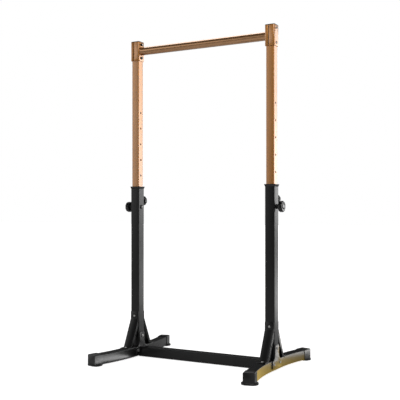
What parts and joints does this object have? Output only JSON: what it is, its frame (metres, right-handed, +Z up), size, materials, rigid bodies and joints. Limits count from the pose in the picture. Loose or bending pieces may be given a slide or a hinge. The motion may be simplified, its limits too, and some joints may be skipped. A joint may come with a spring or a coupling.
{
  "type": "pull up bar",
  "caption": "Free-standing pull-up stand: a round bar between two telescoping uprights on splayed feet, set in height by lock pins and clamp knobs.",
  "frame": {"origin": "on the floor, midway between the two uprights", "axes": "+X from the left upright to the right upright, +Y to the back, +Z up"},
  "size_m": [1.12, 0.8516, 2.0043],
  "materials": {
    "powder_coat": "satin black powder coat",
    "bronze": "satin bronze metallic coat",
    "bronze_bar": "polished bronze metallic coat",
    "plastic": "matte moulded black",
    "knob": "semi-gloss moulded black",
    "nylon": "natural nylon",
    "steel": "zinc plated",
    "black_steel": "black oxide"
  },
  "bodies": {
    "base_frame": {"base_crossbar": "powder_coat", "left_foot_tube": "powder_coat", "left_front_shoe": "plastic", "left_back_shoe": "plastic", "left_lower_upright": "powder_coat", "left_front_brace": "powder_coat", "left_back_brace": "powder_coat", "left_brace_bolt": "steel", "left_front_brace_foot_bolt": "steel", "left_back_brace_foot_bolt": "steel", "left_outer_gusset": "powder_coat", "left_front_gusset_bolt": "steel", "left_back_gusset_bolt": "steel", "left_upright_bolt": "steel", "left_guide_collar": "plastic", "left_pin_boss": "powder_coat", "left_pin_nut": "powder_coat", "left_clamp_boss": "powder_coat", "right_foot_tube": "powder_coat", "right_front_shoe": "plastic", "right_back_shoe": "plastic", "right_lower_upright": "powder_coat", "right_front_brace": "powder_coat", "right_back_brace": "powder_coat", "right_brace_bolt": "steel", "right_front_brace_foot_bolt": "steel", "right_back_brace_foot_bolt": "steel", "right_outer_gusset": "powder_coat", "right_front_gusset_bolt": "steel", "right_back_gusset_bolt": "steel", "right_upright_bolt": "steel", "right_guide_collar": "plastic", "right_pin_boss": "powder_coat", "right_pin_nut": "powder_coat", "right_clamp_boss": "powder_coat"},
    "upper_frame": {"pull_up_bar": "bronze_bar", "left_upper_upright": "bronze", "left_upper_glide": "plastic", "left_top_cap": "plastic", "left_inner_bracket": "bronze", "left_outer_bracket": "bronze", "left_bracket_bolt_lower": "black_steel", "left_bracket_bolt_upper": "black_steel", "right_upper_upright": "bronze", "right_upper_glide": "plastic", "right_top_cap": "plastic", "right_inner_bracket": "bronze", "right_outer_bracket": "bronze", "right_bracket_bolt_lower": "black_steel", "right_bracket_bolt_upper": "black_steel"},
    "left_lock": {"left_lock_pin": "steel", "left_lock_knob": "knob"},
    "right_lock": {"right_lock_pin": "steel", "right_lock_knob": "knob"},
    "left_clamp_nose": {"left_clamp_tip": "nylon"},
    "left_clamp_handle": {"left_clamp_screw": "steel", "left_clamp_knob": "knob"},
    "right_clamp_nose": {"right_clamp_tip": "nylon"},
    "right_clamp_handle": {"right_clamp_screw": "steel", "right_clamp_knob": "knob"}
  },
  "joints": [
    {"name": "height_slide", "type": "slide", "parent": "base_frame", "child": "upper_frame", "axis": [0, 0, 1], "range_m": [-0.6, 0]},
    {"name": "left_lock_pull", "type": "slide", "parent": "base_frame", "child": "left_lock", "axis": [-1, 0, 0], "range_m": [0, 0.07]},
    {"name": "right_lock_pull", "type": "slide", "parent": "base_frame", "child": "right_lock", "axis": [1, 0, 0], "range_m": [0, 0.07]},
    {"name": "left_clamp_advance", "type": "slide", "parent": "base_frame", "child": "left_clamp_nose", "axis": [0, 1, 0], "range_m": [0, 0.006]},
    {"name": "left_clamp_turn", "type": "hinge", "parent": "left_clamp_nose", "child": "left_clamp_handle", "pos_m": [-0.467, 0.05, 0.99], "axis": [0, 1, 0], "range_deg": [0, 1440]},
    {"name": "right_clamp_advance", "type": "slide", "parent": "base_frame", "child": "right_clamp_nose", "axis": [0, 1, 0], "range_m": [0, 0.006]},
    {"name": "right_clamp_turn", "type": "hinge", "parent": "right_clamp_nose", "child": "right_clamp_handle", "pos_m": [0.467, 0.05, 0.99], "axis": [0, 1, 0], "range_deg": [0, 1440]}
  ],
  "couplings": [
    {"joint": "left_clamp_advance", "follows": "left_clamp_turn", "m_per_rad": 0.00023873},
    {"joint": "right_clamp_advance", "follows": "right_clamp_turn", "m_per_rad": 0.00023873}
  ]
}
